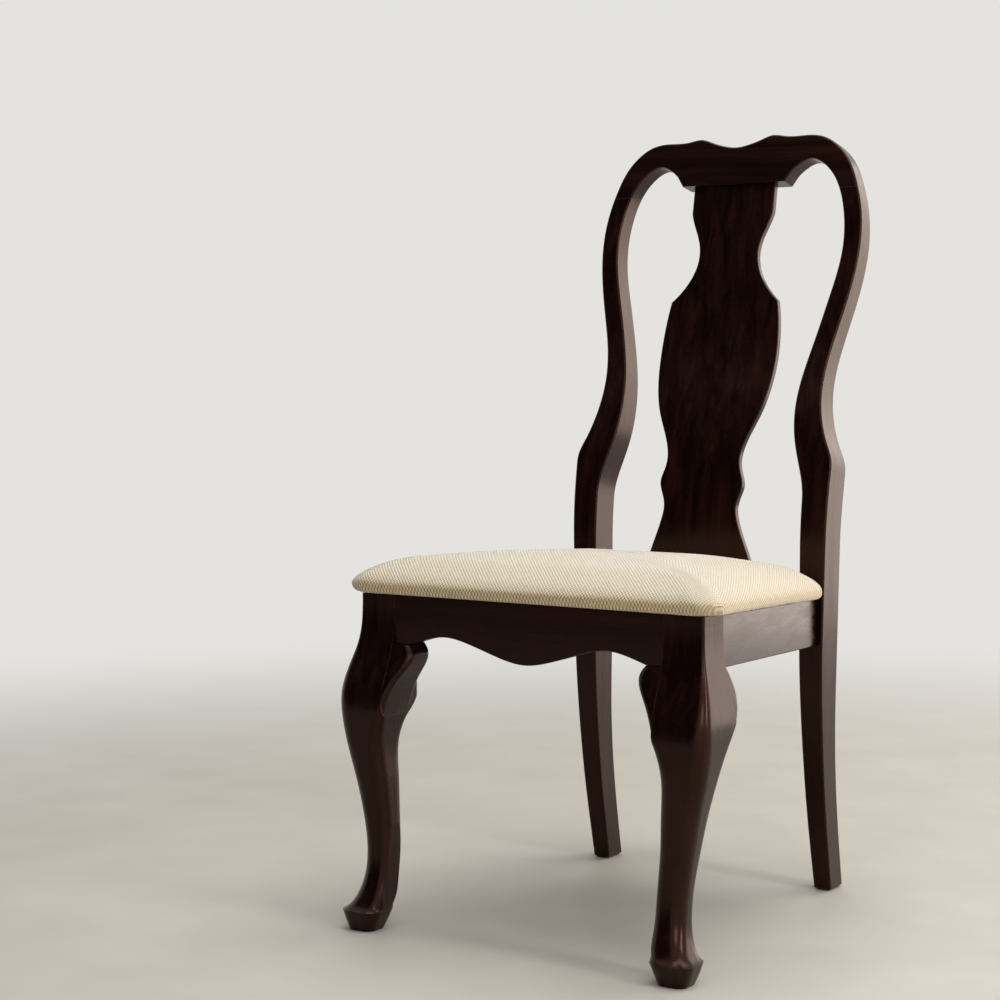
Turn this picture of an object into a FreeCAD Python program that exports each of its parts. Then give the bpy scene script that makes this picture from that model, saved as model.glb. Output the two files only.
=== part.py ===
import FreeCAD, Part
import math
import os

# Dining chair with cabriole front legs, a vase-shaped splat and an upholstered seat.
# Millimetres. +Z is up, +Y runs from the front of the chair to its back, +X to the right
# as seen from the front. Everything is drawn with the floor at Z 0 and the front faces of
# the leg posts at Y 0, and moved at the end so that the origin is under the chair's middle.

vec = FreeCAD.Vector
X_AXIS = vec(1, 0, 0)
Z_AXIS = vec(0, 0, 1)
FAR = 900.0                     # longer than any piece, for cutting blocks
TOUCH = 0.05                    # closer than this counts as touching

# Seat frame
frame_front_width = 492.0       # outer faces of the two leg posts
leg_post_width = 52.0
leg_post_depth = 47.5
leg_post_length = 13.0          # straight stretch above the swell of the knee
seat_front_height = 425.0       # top of the front rail
seat_slope = 2.9                # degrees, the seat falls towards the back
seat_frame_depth = 431.0        # leg post face to back post face
rail_height = 62.0
rail_thickness = 22.0
front_rail_drop = 75.0          # depth of the front rail at the middle of its scallop
side_rail_inset = 8.0           # side rail face inside the back post's outer face
rear_rail_setback = 6.0         # rear rail behind the face of the back posts
rail_ease = 1.5                 # rounding of the rails' lower edges

# Cabriole legs, one station per section from the ridge of the foot up to the post: height,
# reach past the post's outer face, reach past its front face, width, depth, radius of the
# knee corner, radius of the other corners
leg_stations = (
    (26.0, 5.5, 48.0, 57.0, 57.0, 20.0, 20.0),
    (38.0, -6.6, 37.4, 46.8, 46.8, 17.0, 17.0),
    (52.0, -11.8, 31.0, 43.0, 43.0, 17.0, 16.0),
    (82.0, -15.5, 22.8, 39.0, 39.0, 17.0, 15.0),
    (120.0, -12.8, 20.2, 40.4, 40.4, 17.5, 15.5),
    (160.0, -5.8, 21.5, 44.4, 44.4, 18.0, 16.0),
    (200.0, 2.9, 25.6, 50.6, 50.6, 19.0, 17.0),
    (240.0, 12.6, 29.9, 58.4, 58.4, 20.0, 16.0),
    (270.0, 17.5, 31.2, 68.8, 67.0, 19.0, 11.0),
    (298.0, 18.5, 29.3, 79.5, 80.0, 16.0, 5.0),
    (328.0, 13.5, 19.5, 75.5, 74.0, 11.0, 3.0),
    (350.0, 7.4, 10.0, 69.4, 64.5, 7.0, 3.0),
    (375.0, 2.0, 2.8, 64.0, 57.3, 4.0, 3.0),
    (396.0, 0.3, 0.4, 62.3, 54.9, 3.0, 3.0),
    (412.0, 0.0, 0.0, 62.0, 54.5, 3.0, 3.0),
)
KNEE_FIRST = 7                  # first station that the knee blocks follow
# Underside of the foot, from the floor up to the ridge, in the same columns
foot_stations = (
    (0.0, -3.5, 39.5, 37.0, 37.0, 12.0, 12.0),
    (10.0, 0.8, 43.0, 46.0, 46.0, 16.0, 16.0),
)

# Knee blocks, one row per station of the knee: reach out from the leg, radius of the rolled edges
front_block = (
    (-6.2, 16.0), (-0.7, 11.0), (5.6, 8.5), (21.5, 9.0),
    (31.6, 10.0), (11.0, 8.0), (-8.0, 6.0), (-22.0, 6.0),
)
side_block = (
    (-19.0, 16.0), (-11.7, 11.0), (3.2, 7.0), (14.5, 8.0),
    (11.2, 8.0), (-6.0, 6.0), (-18.0, 6.0), (-26.0, 6.0),
)
knee_block_depth = 36.0         # behind the face of the leg post
knee_block_width = 23.0         # of the front block, where it meets the rail
knee_block_tip = 278.0          # height at which the front block's point is sawn off blunt

# Scalloped lower edge of the front rail: distance from the middle, rise above its lowest point
scallop = ((27.0, 3.4), (54.0, 10.6), (82.0, 18.4), (118.0, 24.0), (149.0, 18.6), (171.0, 12.0))

# Back frame
back_width = 405.0              # outside the bows of the back
back_post_depth = 50.0          # at the seat
back_straight = 45.0            # upright stretch of the posts above the seat's front height
back_rise = 611.0               # seat front height to the peaks of the crest
back_rake = 10.8                # degrees, square to which the back is sawn out
crest_thickness = 30.0
crest_joint_drop = 12.5         # joint of crest and posts below the shelf over the splat
back_ease = 2.5
rear_sweep = 47.0               # how far the rear feet kick back
sweep_power = 1.75
rear_foot_width = 25.0
rear_foot_depth = 38.0
rear_foot_spread = 5.7          # rear foot inside the post's outer face
rear_foot_chamfer = 4.0

# Side view of the upper back: height, distance back, share of the taper left in the depth
back_stations = (
    (145.0, 10.5, 1.0),
    (225.0, 30.0, 0.7),
    (305.0, 56.5, 0.375),
    (385.0, 75.5, 0.25),
    (505.0, 99.0, 0.05),
    (611.0, 119.0, 0.0),
)
# Front view of the back, right half: distance from the middle, height above the seat's front
back_post_outer = 193.2
back_post_inner = 158.8
outer_shoulder = (198.0, 153.0)
outer_bow = (
    (188.3, 185.0), (174.7, 225.0), (170.3, 265.0), (174.1, 305.0), (187.9, 365.0), (199.9, 425.0),
    (202.5, 465.0), (198.3, 505.0), (188.0, 541.0), (172.0, 574.0), (154.0, 593.0), (135.0, 604.0),
    (115.0, 607.8), (95.0, 607.6), (75.0, 608.6), (56.0, 611.0), (38.0, 605.6), (20.0, 600.0), (0.0, 597.0),
)
inner_bow = (
    (153.2, 145.0), (141.0, 185.0), (134.8, 225.0), (136.4, 265.0), (148.9, 325.0), (164.1, 385.0),
    (175.5, 440.0), (176.6, 465.0), (171.7, 505.0), (157.8, 543.0), (141.0, 563.5), (117.0, 574.5),
    (101.0, 568.0), (91.0, 560.0), (80.0, 544.5),
)
inner_bow_start = 110.0         # height where the posts' inner faces leave the straight
# Front view of the splat, right half, from the seat up to the crest
splat_vase = (
    (76.0, -40.0), (71.3, 45.0), (58.0, 83.0), (56.0, 95.0), (58.5, 110.0), (63.9, 130.0), (58.8, 148.0),
    (56.4, 165.0), (60.5, 185.0), (77.2, 225.0), (87.5, 265.0), (90.5, 310.0), (88.6, 345.0), (83.0, 381.0),
)
splat_neck = (
    (83.0, 381.0), (60.9, 405.0), (50.2, 425.0), (46.0, 445.0), (48.4, 465.0), (56.2, 485.0), (63.4, 506.0),
)
splat_thickness = 10.0
splat_setback_low = 11.0        # splat face behind the post face, at the seat
splat_setback_top = 6.5         # the same at the crest
splat_ease = 1.2
tenon_half_width = 45.0
tenon_length = 13.0
tenon_clearance = 0.3

# Dowels, corner blocks and screws
dowel_radius = 4.0
dowel_reach = 18.0              # into each of the two pieces
dowel_clearance = 0.1
front_dowel_drops = (20.0, 44.0)
side_dowel_drops = (16.0, 42.0)
rear_dowel_drops = (29.0, 54.0)
crest_dowel_spread = 7.0
corner_block_top = 5.0          # below the top of the rails
corner_block_height = 25.0
corner_block_leg = 64.0         # along the front and rear rails
corner_block_run = 62.0         # along the side rails
screw_radius = 2.1
screw_head_radius = 4.5
screw_head_height = 3.0
screw_clearance = 0.1
block_screw_wood = 14.0         # wood of the block under the screw's head
block_screw_bite = 14.0         # thread in the rail
seat_screw_bite = 9.0           # thread in the seat board
seat_screw_aside = 6.0          # seat screw inside the inner face of the post
seat_screw_along = 25.0         # seat screw from the post, along the side rail

# Upholstered seat
cushion_overhang = 12.0         # widest line of the cushion past the rails
cushion_back_gap = 4.0          # cushion in front of the back posts
cushion_front_radius = 24.0
cushion_rear_radius = 20.0
cushion_draw = 2.0              # how far the sides pull in between the corners
# Profile of the cushion's edge: height above the rails, distance in from the widest line
cushion_profile = ((0.0, 8.0), (16.0, 0.0), (34.0, 13.0), (49.0, 47.0), (58.0, 100.0), (62.5, 155.0))
soft_gap = 0.3                  # between the soft pieces and what they lie on
cover_thickness = 1.2
hem_width = 38.0
seat_board_thickness = 12.0
seat_board_edge = 11.0          # board edge inside the widest line of the cushion
dust_cover_thickness = 0.6
dust_cover_margin = 3.0         # clear of the rails
staple_crown = 10.0
staple_leg = 8.0
staple_wire = 0.8
staple_inset = 40.0             # inside the widest line of the cushion
front_staples = (-126.0, -42.0, 42.0, 126.0)
rear_staples = (-80.0, 0.0, 80.0)
side_staples = (120.0, 210.0, 300.0)
staple_clearance = 0.1


# Small helpers

def polygon(points):
    """Flat face inside straight edges through the points."""
    return Part.Face(Part.makePolygon(list(points) + [points[0]]))


def curve(points, start=None, end=None):
    """Edge of a smooth curve through the points, with optional end directions."""
    spline = Part.BSplineCurve()
    if start is None:
        spline.interpolate(points)
    else:
        spline.interpolate(Points=points, InitialTangent=start, FinalTangent=end)
    return spline.toShape()


def lines(points):
    """Straight edges from each point to the next."""
    return [Part.makeLine(a, b) for a, b in zip(points, points[1:])]


def closed_face(edges):
    """Flat face inside a closed chain of edges."""
    return Part.Face(Part.Wire(Part.sortEdges(edges)[0]))


def bend(*poles):
    """Edge of a smooth bend that starts at the first pole and ends at the last."""
    arc = Part.BezierCurve()
    arc.setPoles(list(poles))
    return arc.toShape()


def rounded_loop(points, radii, draw=0.0):
    """Closed outline with round corners, from points that run anticlockwise round a level.

    The sides are straight, or pulled in by the draw at their middles."""
    count = len(points)
    ends = []
    edges = []
    for index, point in enumerate(points):
        before = (points[index - 1] - point).normalize()
        after = (points[(index + 1) % count] - point).normalize()
        corner = before.getAngle(after)
        cut_back = radii[index] / math.tan(corner / 2)
        handle = cut_back - radii[index] * 4 / 3 * math.tan((math.pi - corner) / 4)
        ends.append((point + before * cut_back, point + after * cut_back))
        edges.append(bend(ends[-1][0], point + before * handle, point + after * handle, ends[-1][1]))
    sides = []
    for index in range(count):
        start, end = ends[index][1], ends[(index + 1) % count][0]
        inward = Z_AXIS.cross(end - start).normalize()
        middle = (start + end) * 0.5 + inward * 2 * draw
        sides.append(bend(start, middle, end) if draw else Part.makeLine(start, end))
    return Part.Wire([edge for pair in zip(edges, sides) for edge in pair])


def lofted(sections):
    """Solid through a row of sections."""
    return Part.makeLoft(sections, True, False, False, 3)


def block(low, high):
    """Box between two corners."""
    size = high - low
    return Part.makeBox(size.x, size.y, size.z, low)


def rod(radius, start, end):
    """Round bar between two points."""
    line = end - start
    return Part.makeCylinder(radius, line.Length, start, line)


def mirrored(shape):
    """The same shape on the other side of the chair."""
    return shape.mirror(vec(0, 0, 0), X_AXIS)


def both_sides(shapes):
    """Right-hand shapes and their mirror images in one list."""
    return list(shapes) + [mirrored(shape) for shape in shapes]


def eased(shape, radius, wanted):
    """Shape with the wanted edges rounded."""
    return shape.makeFillet(radius, [edge for edge in shape.Edges if wanted(edge.BoundBox)])


# Levels and faces that several pieces share

half_front = frame_front_width / 2
post_inner = half_front - leg_post_width
leg_stretch = (seat_front_height - leg_post_length) / leg_stations[-1][0]
back_stretch = back_rise / max(up for across, up in outer_bow)
back_spread = back_width / 2 / max(across for across, up in outer_bow)
back_outer = back_post_outer * back_spread
back_inner = back_post_inner * back_spread
slope_angle = math.radians(seat_slope)
slope_ratio = math.tan(slope_angle)
rake_ratio = math.tan(math.radians(back_rake))
rail_lean = (half_front - back_outer + side_rail_inset) / (seat_frame_depth - leg_post_depth)
rail_skew = math.sqrt(1 + rail_lean ** 2)
rail_normal = vec(1, rail_lean, 0).normalize()
rear_rail_face = seat_frame_depth + rear_rail_setback
front_rail_low = seat_front_height - rail_height
rear_leg_top = seat_front_height - seat_frame_depth * slope_ratio - rail_height
joint_level = seat_front_height + inner_bow[-1][1] * back_stretch - crest_joint_drop
straight_level = seat_front_height + back_straight
board_low = soft_gap + cover_thickness + soft_gap
board_high = board_low + seat_board_thickness


def seat_top(y):
    """Height of the rails' top at a distance from the front."""
    return seat_front_height - y * slope_ratio


def rail_outer(y):
    """Outer face of the right side rail."""
    return half_front - (y - leg_post_depth) * rail_lean


def rail_inner(y):
    """Inner face of the right side rail."""
    return rail_outer(y) - rail_thickness * rail_skew


def rail_middle(y):
    """Middle of the right side rail's thickness."""
    return (rail_outer(y) + rail_inner(y)) / 2


def back_level(up):
    """Height above the floor of a point on the back's pattern."""
    return seat_front_height + up * back_stretch


def on_seat(shape):
    """Lay a shape that is drawn on the level onto the sloping top of the rails."""
    laid = shape.copy()
    laid.rotate(vec(0, 0, 0), X_AXIS, -seat_slope)
    laid.translate(vec(0, 0, seat_front_height))
    return laid


def seat_slab(low, high):
    """Slab between two heights measured from the top of the rails."""
    return on_seat(block(vec(-FAR, -FAR, low), vec(FAR, FAR, high)))


# Front legs

def knee_section(station, x_in, y_rear, radius):
    """Rounded section with a leg station's outer and front faces, and its own inner and rear ones."""
    height, side_reach, front_reach, width, depth, knee_radius, corner_radius = station
    x_out = half_front + side_reach
    corners = ((x_out, -front_reach), (x_out, y_rear), (x_in, y_rear), (x_in, -front_reach))
    points = [vec(x, y, height * leg_stretch) for x, y in corners]
    return rounded_loop(points, (knee_radius, radius, radius, radius))


def leg_section(station):
    """Rounded section of the right front leg at one station."""
    height, side_reach, front_reach, width, depth, knee_radius, corner_radius = station
    return knee_section(station, half_front + side_reach - width, depth - front_reach, corner_radius)


def front_leg():
    """Right front leg: foot, ankle, knee and post in one piece."""
    upper = lofted([leg_section(station) for station in leg_stations])
    foot = lofted([leg_section(station) for station in foot_stations + leg_stations[:1]])
    post = Part.Face(leg_section(leg_stations[-1])).extrude(vec(0, 0, 2 * leg_post_length))
    leg = upper.fuse([foot, post])
    joints = block(vec(post_inner, -FAR, -FAR), vec(FAR, leg_post_depth, FAR))
    return leg.common(joints).common(seat_slab(-FAR, 0)).Solids[0]


# Knee blocks, which carry the faces of the knee on under the rails

def front_knee_block():
    """Rolled block under the front rail, beside the right leg."""
    sections = []
    for station, (out, radius) in zip(leg_stations[KNEE_FIRST:], front_block):
        sections.append(knee_section(station, post_inner - out, knee_block_depth, radius))
    room = block(vec(-FAR, -FAR, knee_block_tip * leg_stretch), vec(post_inner, FAR, front_rail_low))
    return lofted(sections).common(room).Solids[0]


def side_knee_block():
    """Rolled block under the right side rail, behind the leg."""
    sections = []
    for station, (out, radius) in zip(leg_stations[KNEE_FIRST:], side_block):
        sections.append(knee_section(station, half_front - knee_block_depth, leg_post_depth + out, radius))
    room = block(vec(0, leg_post_depth, 0), vec(FAR, FAR, FAR)).common(seat_slab(-FAR, -rail_height))
    return lofted(sections).common(room).Solids[0]


# Rails

def front_rail():
    """Front rail with its scalloped lower edge, between the leg posts."""
    middle = seat_front_height - front_rail_drop
    end = post_inner - knee_block_width
    stretch = end / scallop[-1][0]
    lift = (front_rail_low - middle) / scallop[-1][1]
    right = [vec(across * stretch, 0, middle + rise * lift) for across, rise in scallop]
    left = [vec(-point.x, 0, point.z) for point in reversed(right)]
    lower = curve(left + [vec(0, 0, middle)] + right)
    over = seat_front_height + rail_thickness
    upper = [(end, front_rail_low), (post_inner, front_rail_low), (post_inner, over)]
    corners = [vec(x, 0, z) for x, z in upper] + [vec(-x, 0, z) for x, z in reversed(upper)]
    rail = closed_face([lower] + lines(corners)).extrude(vec(0, rail_thickness, 0))
    rail = rail.common(seat_slab(-FAR, 0)).Solids[0]
    half_way = seat_front_height - rail_height / 2
    return eased(rail, rail_ease, lambda box: box.XLength > end and box.ZMax < half_way)


def side_rail():
    """Right side rail, from the leg post to the back post."""
    ends = (leg_post_depth, seat_frame_depth)
    outer = [vec(rail_outer(y), y, 0) for y in ends]
    inner = [vec(rail_inner(y), y, 0) for y in reversed(ends)]
    rail = polygon(outer + inner).extrude(vec(0, 0, FAR)).common(seat_slab(-rail_height, 0)).Solids[0]
    half_way = seat_top(leg_post_depth) - rail_height / 2
    return eased(rail, rail_ease, lambda box: box.YLength > rail_height and box.ZMax < half_way)


def rear_rail():
    """Rear rail between the back posts, with the mortise for the splat."""
    rail = block(vec(-back_inner, rear_rail_face, 0), vec(back_inner, rear_rail_face + rail_thickness, FAR))
    rail = rail.common(seat_slab(-rail_height, 0)).Solids[0]
    half_way = seat_top(rear_rail_face) - rail_height / 2
    rail = eased(rail, rail_ease, lambda box: box.XLength > back_inner and box.ZMax < half_way)
    return rail.cut(seat_tenon(tenon_clearance))


# Back posts and crest, sawn out as one hoop and parted at the crest's joints

def past_crest(points):
    """Side view of a face of the back, carried straight on above the crest."""
    return points + [points[-1] * 1.5 - points[-2] * 0.5]


def back_face_points(offset_low, offset_top):
    """Side view of a face of the back: offsets behind the front of the posts, at seat and crest."""
    low, high = back_straight, back_stations[-1][0]
    points = [vec(0, seat_frame_depth + offset_low, straight_level)]
    for up, run, taper in back_stations:
        share = (up - low) / (high - low)
        offset = offset_low + (offset_top - offset_low) * share
        points.append(vec(0, seat_frame_depth + run + offset, back_level(up)))
    return past_crest(points)


def post_rear_points():
    """Side view of the posts' rear faces, which taper towards the crest."""
    points = [vec(0, seat_frame_depth + back_post_depth, straight_level)]
    for up, run, taper in back_stations:
        depth = crest_thickness + (back_post_depth - crest_thickness) * taper
        points.append(vec(0, seat_frame_depth + run + depth, back_level(up)))
    return past_crest(points)


def rear_leg_points(top_depth, foot_depth):
    """Side view of one face of the rear leg, from the seat frame down to the floor."""
    points = []
    for share in (0.0, 0.35, 0.7, 1.0):
        depth = foot_depth + (top_depth - foot_depth) * (1 - share) ** 2
        y = seat_frame_depth + rear_sweep * share ** sweep_power + depth
        points.append(vec(0, y, rear_leg_top * (1 - share)))
    return points


def from_upright(points, lead):
    """Curve that leaves its first point upright and ends along its last two points."""
    return curve(points, lead, points[-1] - points[-2])



front_face_edge = from_upright(back_face_points(0, 0), Z_AXIS)


def face_y(z):
    """Front face of the back at a height."""
    if z <= straight_level:
        return seat_frame_depth
    level = Part.makeLine(vec(0, -FAR, z), vec(0, FAR, z))
    return front_face_edge.distToShape(level)[1][0][0].y


def sawn(across, z):
    """Point of the back's front view, slid along the saw onto the drawing plane."""
    return vec(across, 0, z + face_y(z) * rake_ratio)


def patterned(points):
    """Points of the back's front view at the pattern's places."""
    return [sawn(across * back_spread, back_level(up)) for across, up in points]


def sawn_out(edges):
    """Solid sawn square to the raked back, from an outline on the drawing plane."""
    return closed_face(edges).extrude(vec(0, FAR, -FAR * rake_ratio))


def across_chair(edges):
    """Wide slab from a side view of the back."""
    face = closed_face(edges)
    face.translate(vec(-FAR / 2, 0, 0))
    return face.extrude(vec(FAR, 0, 0))


def back_slab():
    """Slab between the front and rear faces of the back, from the floor to above the crest."""
    front = back_face_points(0, 0)
    rear = post_rear_points()
    front_leg_face = rear_leg_points(0, 0)
    rear_leg_face = rear_leg_points(back_post_depth, rear_foot_depth)
    curves = [
        from_upright(front, Z_AXIS), from_upright(rear, Z_AXIS),
        from_upright(front_leg_face, -Z_AXIS), from_upright(rear_leg_face, -Z_AXIS),
    ]
    straights = lines([front_leg_face[0], front[0]]) + lines([rear_leg_face[0], rear[0]])
    ends = lines([front[-1], rear[-1]]) + lines([front_leg_face[-1], rear_leg_face[-1]])
    return across_chair(curves + straights + ends)


def below_floor(post_x, foot_x):
    """Point where a tapering side of the rear leg would pass below the floor."""
    return sawn(foot_x + (foot_x - post_x), -rear_leg_top)


def hoop_outline():
    """Front view of both posts and the crest: outer sides, inner sides and the shelf over the splat."""
    foot_outer = back_outer - rear_foot_spread
    foot_inner = foot_outer - rear_foot_width
    outer = patterned((outer_shoulder,) + outer_bow)
    inner = patterned(((back_post_inner, inner_bow_start),) + inner_bow)
    outer_low = [below_floor(back_outer, foot_outer), sawn(back_outer, rear_leg_top), outer[0]]
    inner_low = [below_floor(back_inner, foot_inner), sawn(back_inner, rear_leg_top), inner[0]]
    right = lines(outer_low) + lines(inner_low) + lines([outer_low[0], inner_low[0]])
    right.append(curve(inner, Z_AXIS, inner[-1] - inner[-2]))
    upward = outer_low[-1] - outer_low[-2]
    downward = vec(upward.x, 0, -upward.z)
    top = curve(outer + [vec(-point.x, 0, point.z) for point in reversed(outer[:-1])], upward, downward)
    shelf = lines([inner[-1], vec(-inner[-1].x, 0, inner[-1].z)])
    return both_sides(right) + shelf + [top]


def is_arris(box):
    """Long edge between a face of the back and a sawn side, by its bounds."""
    across = box.YLength < TOUCH and box.ZLength < TOUCH
    along_saw = box.XLength < TOUCH and abs(box.ZLength - box.YLength * rake_ratio) < TOUCH
    upright = box.XLength < TOUCH and box.YLength < TOUCH
    return not across and (upright or not along_saw) and box.ZMax > rear_foot_chamfer * 2


def at_joint(box):
    """Edge that lies in the joint of crest and posts, by its bounds."""
    return box.ZMin > joint_level - TOUCH and box.ZMax < joint_level + TOUCH


def back_pieces():
    """Right post and crest, parted at their joint, with eased edges and a bevelled foot."""
    whole = sawn_out(hoop_outline()).common(back_slab())
    below = block(vec(0, -FAR, -FAR), vec(FAR, FAR, joint_level))
    above = block(vec(-FAR, -FAR, joint_level), vec(FAR, FAR, 2 * FAR))
    post = whole.common(below).Solids[0]
    post = post.makeChamfer(rear_foot_chamfer, [edge for edge in post.Edges if edge.BoundBox.ZMax < TOUCH])
    halves = (post, whole.common(above).Solids[0])
    return [eased(half, back_ease, lambda box: is_arris(box) and not at_joint(box)) for half in halves]


# Splat

def splat_slab(clearance):
    """Slab between the splat's faces, from inside the rear rail to inside the crest."""
    front = back_face_points(splat_setback_low - clearance, splat_setback_top - clearance)
    rear = back_face_points(splat_setback_low + splat_thickness + clearance,
                            splat_setback_top + splat_thickness + clearance)
    low = rear_leg_top
    curves = [from_upright(front, Z_AXIS), from_upright(rear, Z_AXIS)]
    feet = [vec(0, front[0].y, low), vec(0, rear[0].y, low)]
    return across_chair(curves + lines([front[0], feet[0], feet[1], rear[0]]) + lines([front[-1], rear[-1]]))


def seat_tenon(clearance):
    """Tenon of the splat in the rear rail, or its mortise when there is a clearance."""
    half = tenon_half_width + clearance
    width = block(vec(-half, 0, 0), vec(half, FAR, FAR))
    return splat_slab(clearance).common(width).common(seat_slab(-tenon_length - clearance, tenon_length))


def crest_tenon(clearance):
    """Tenon of the splat in the crest, or its mortise when there is a clearance."""
    half = tenon_half_width + clearance
    shelf = patterned(inner_bow[-1:])[0].z
    low, high = shelf - tenon_length, shelf + tenon_length + clearance
    corners = ((-half, low), (half, low), (half, high), (-half, high), (-half, low))
    return splat_slab(clearance).common(sawn_out(lines([vec(x, 0, z) for x, z in corners])))


def splat():
    """Vase-shaped splat with a tenon at each end."""
    lower = patterned(splat_vase)
    neck = patterned(splat_neck)
    shelf = patterned(inner_bow[-1:])[0].z
    top = vec(neck[-1].x, 0, shelf)
    right = [curve(lower), curve(neck)] + lines([neck[-1], top])
    ends = lines([top, vec(-top.x, 0, top.z)]) + lines([lower[0], vec(-lower[0].x, 0, lower[0].z)])
    body = sawn_out(both_sides(right) + ends).common(splat_slab(0)).common(seat_slab(0, FAR)).Solids[0]
    body = eased(body, splat_ease, lambda box: is_arris(box) and box.ZLength > tenon_length)
    return body.fuse([seat_tenon(0), crest_tenon(0)]).removeSplitter()


# Dowels and screws

def dowel(centre, axis, clearance=0.0):
    """Dowel across a joint, or its hole when there is a clearance."""
    reach = axis.normalize() * (dowel_reach + clearance)
    return rod(dowel_radius + clearance, centre - reach, centre + reach)


def front_dowels(clearance=0.0):
    """Right-hand dowels between the front rail and the leg post."""
    y = rail_thickness / 2
    centres = [vec(post_inner, y, seat_top(y) - drop) for drop in front_dowel_drops]
    return [dowel(centre, vec(1, 0, 0), clearance) for centre in centres]


def side_dowels(clearance=0.0):
    """Dowels at both ends of the right side rail."""
    joints = (leg_post_depth, seat_frame_depth)
    centres = [vec(rail_middle(y), y, seat_top(y) - drop) for y in joints for drop in side_dowel_drops]
    return [dowel(centre, vec(0, 1, 0), clearance) for centre in centres]


def rear_dowels(clearance=0.0):
    """Right-hand dowels between the rear rail and the back post."""
    y = rear_rail_face + rail_thickness / 2
    centres = [vec(back_inner, y, seat_top(y) - drop) for drop in rear_dowel_drops]
    return [dowel(centre, vec(1, 0, 0), clearance) for centre in centres]


def crest_dowels(joint_centre, clearance=0.0):
    """Dowels between the crest and the right back post."""
    lean = vec(0, rake_ratio, 1)
    places = [joint_centre + vec(0, spread, 0) for spread in (-crest_dowel_spread, crest_dowel_spread)]
    return [dowel(place, vec(lean), clearance) for place in places]


def screw(seat, axis, length, clearance=0.0):
    """Screw whose head bears at the seat and whose shank runs along the axis."""
    shank = rod(screw_radius + clearance, seat, seat + axis * length)
    head_room = FAR / 10 if clearance else screw_head_height
    return shank.fuse(rod(screw_head_radius + clearance, seat - axis * head_room, seat))


def block_screws(corner, clearance=0.0):
    """The two screws of one right-hand corner block, into the end rail and the side rail."""
    length = block_screw_wood + block_screw_bite
    level = corner_block_top + corner_block_height / 2
    end_axis = vec(0, corner.outward, 0)
    end_seat = vec(corner.end_x - corner_block_leg / 2, corner.end_y, 0) - end_axis * block_screw_wood
    side_y = corner.side_y - corner.outward * corner_block_run * 0.6
    side_seat = vec(rail_inner(side_y), side_y, 0) - rail_normal * block_screw_wood
    screws = []
    for seat, axis in ((end_seat, end_axis), (side_seat, rail_normal)):
        seat.z = seat_top(seat.y) - level
        screws.append(screw(seat, axis, length, clearance))
    return screws


def seat_screw(corner, clearance=0.0):
    """Screw up through a right-hand corner block into the seat board."""
    low = -corner_block_top - corner_block_height
    place = vec(corner.end_x - seat_screw_aside, corner.side_y - corner.outward * seat_screw_along, low)
    length = board_low + seat_screw_bite - low
    return on_seat(screw(place, vec(0, 0, 1), length, clearance))


# Corner blocks

class Corner:
    """Inner corner of the seat frame, on the right: where its end rail and side rail start."""

    def __init__(self, end_x, end_y, side_y, outward):
        self.end_x = end_x
        self.end_y = end_y
        self.side_y = side_y
        self.outward = outward


front_corner = Corner(post_inner, rail_thickness, leg_post_depth, -1)
rear_corner = Corner(back_inner, rear_rail_face, seat_frame_depth, 1)


def corner_plan(corner):
    """Plan of a corner block, cut round the post between the two rails."""
    inward_y = corner.side_y - corner.outward * corner_block_run
    return polygon([
        vec(corner.end_x - corner_block_leg, corner.end_y, 0), vec(corner.end_x, corner.end_y, 0),
        vec(corner.end_x, corner.side_y, 0), vec(rail_inner(corner.side_y), corner.side_y, 0),
        vec(rail_inner(inward_y), inward_y, 0),
    ])


def corner_block(corner):
    """Glued and screwed block across one right-hand corner of the seat frame."""
    low = -corner_block_top - corner_block_height
    piece = corner_plan(corner).extrude(vec(0, 0, FAR)).common(seat_slab(low, -corner_block_top))
    return piece.cut(block_screws(corner, screw_clearance) + [seat_screw(corner, screw_clearance)])


# Upholstered seat, drawn on the level and laid on the rails

def cushion_outline(inset, z):
    """Outline of the cushion at a distance in from its widest line."""
    y_front = inset - cushion_overhang
    y_rear = seat_frame_depth - cushion_back_gap - inset
    out = (cushion_overhang - inset) * rail_skew
    x_front = rail_outer(y_front) + out
    x_rear = rail_outer(y_rear) + out
    corners = ((x_front, y_front), (x_rear, y_rear), (-x_rear, y_rear), (-x_front, y_front))
    radii = (cushion_front_radius, cushion_rear_radius, cushion_rear_radius, cushion_front_radius)
    return rounded_loop([vec(x, y, z) for x, y in corners], radii, cushion_draw)


def cushion_body(shrink):
    """Crowned cushion with drawn-in sides, shrunk all round."""
    crown = cushion_profile[-1][0]
    flatten = (crown - 2 * shrink) / crown
    low = soft_gap + shrink
    rows = [(inset + shrink, low + height * flatten) for height, inset in cushion_profile]
    return lofted([cushion_outline(inset, z) for inset, z in rows])


def plate(outline_wire, thickness):
    """Flat plate upwards from an outline."""
    return Part.Face(outline_wire).extrude(vec(0, 0, thickness))


def seat_board():
    """Plywood board that the seat is built on."""
    return plate(cushion_outline(seat_board_edge, board_low), seat_board_thickness)


def seat_foam():
    """Foam over the top and edges of the board."""
    foam = cushion_body(cover_thickness + soft_gap)
    pocket = plate(cushion_outline(seat_board_edge - soft_gap, 0), board_high + soft_gap)
    return foam.cut(pocket)


def seat_cover():
    """Woven cover, stretched over the foam and turned under the board."""
    shell = cushion_body(0).cut(cushion_body(cover_thickness))
    window = plate(cushion_outline(cushion_profile[0][1] + hem_width, 0), board_low)
    return shell.cut(window)


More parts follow.
